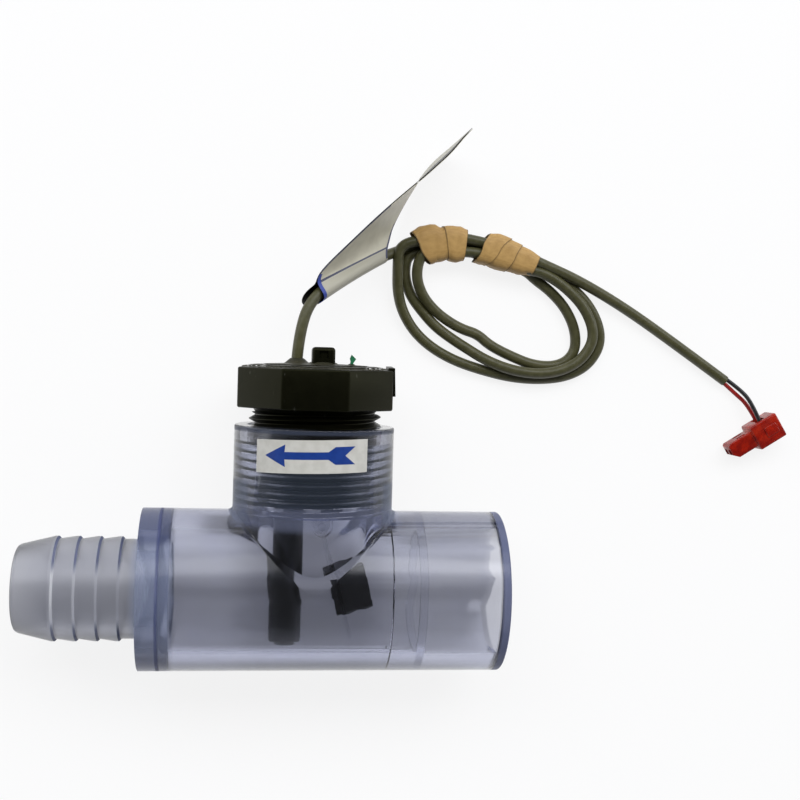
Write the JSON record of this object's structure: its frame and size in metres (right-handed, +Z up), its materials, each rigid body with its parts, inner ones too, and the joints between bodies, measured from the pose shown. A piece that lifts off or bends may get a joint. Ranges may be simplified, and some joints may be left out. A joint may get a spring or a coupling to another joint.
{
  "type": "flow switch",
  "caption": "Paddle flow switch: clear pipe tee with a hose barb and slip socket, a black plug holding a reed switch and swinging magnet paddle, and a coiled lead with a small red plug.",
  "frame": {"origin": "middle of the underside of the fitting, on the surface it lies on, leaving out the lead", "axes": "+X along the pipe towards the slip socket, +Y along the neck towards the plug, +Z up from the resting surface"},
  "size_m": [0.2123, 0.144, 0.042],
  "materials": {
    "clear_pvc": "clear, faint blue-violet tint, moulded gloss",
    "milky_pvc": "hazy clear, satin",
    "label_paper": "vinyl-coated label paper with a printed blue arrow",
    "black_plastic": "moulded, satin",
    "dark_resin": "cast resin, glossy",
    "reed_glass": "clear glass",
    "reed_metal": "plated nickel-iron",
    "red_insulation": "extruded vinyl",
    "black_insulation": "extruded vinyl",
    "magnet": "sintered ferrite",
    "green_insulation": "extruded vinyl",
    "vane_plastic": "thin clear moulding",
    "cable_jacket": "extruded vinyl jacket",
    "tag_paper": "coated paper with printed blue rules",
    "crepe_tape": "creped paper tape",
    "red_nylon": "moulded, slightly translucent",
    "tinned_contact": "tin plated"
  },
  "bodies": {
    "fitting": {"tee_body": "clear_pvc", "hose_barb": "milky_pvc", "flow_arrow_label": "label_paper", "switch_plug": "black_plastic", "potting_fill": "dark_resin", "reed_stem": "black_plastic", "reed_capsule": "reed_glass", "reed_blade_upper": "reed_metal", "reed_blade_lower": "reed_metal", "inner_lead_red": "red_insulation", "inner_lead_black": "black_insulation", "bias_magnet": "magnet", "insert_screw": "black_plastic", "green_wire_stub": "green_insulation", "hinge_bracket": "vane_plastic", "pivot_pin": "vane_plastic", "cable_lead": "cable_jacket", "cable_coil": "cable_jacket", "cable_tail": "cable_jacket", "cable_tag": "tag_paper", "coil_tape_left": "crepe_tape", "coil_tape_right": "crepe_tape", "wire_black": "black_insulation", "wire_red": "red_insulation", "connector_housing": "red_nylon", "connector_contact_upper": "tinned_contact", "connector_contact_lower": "tinned_contact"},
    "paddle": {"paddle_vane": "vane_plastic", "magnet_carrier": "black_plastic", "carrier_keeper": "black_plastic", "paddle_magnet": "magnet"}
  },
  "joints": [
    {"name": "paddle_swing", "type": "hinge", "parent": "fitting", "child": "paddle", "pos_m": [0.0149, -0.0039, 0.021], "axis": [0, 0, -1], "range_deg": [0, 20], "stiffness_Nm_per_rad": 0.002, "springref_deg": -20.05}
  ]
}
